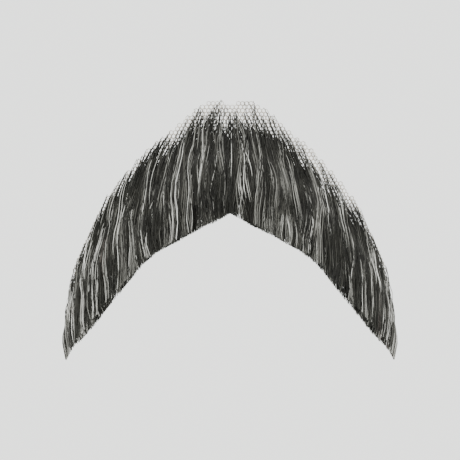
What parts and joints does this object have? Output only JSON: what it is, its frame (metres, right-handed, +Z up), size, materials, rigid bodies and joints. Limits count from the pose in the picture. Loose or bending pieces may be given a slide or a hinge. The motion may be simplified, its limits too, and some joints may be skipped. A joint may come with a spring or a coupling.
{
  "type": "fake moustache",
  "caption": "Hand-tied false moustache in the curve it is worn in: an arched, parted, drooping pair of wings of combed, trimmed hair knotted in overlapping rows onto a cut net base.",
  "frame": {"origin": "on the skin side of the net base, at the parting, about half way down the hair there", "axes": "+X to the right as seen from the front, +Y towards the skin that it is glued to, +Z up; the hair faces -Y"},
  "size_m": [0.076, 0.0192, 0.0589],
  "materials": {
    "net": "fine knotted lace net, beige, matt",
    "hair": "combed salt-and-pepper hair, soft sheen"
  },
  "bodies": {
    "root": {"net_base": "net", "top_rows_left": "hair", "top_rows_right": "hair", "lower_rows_left": "hair", "lower_rows_right": "hair"}
  },
  "joints": []
}
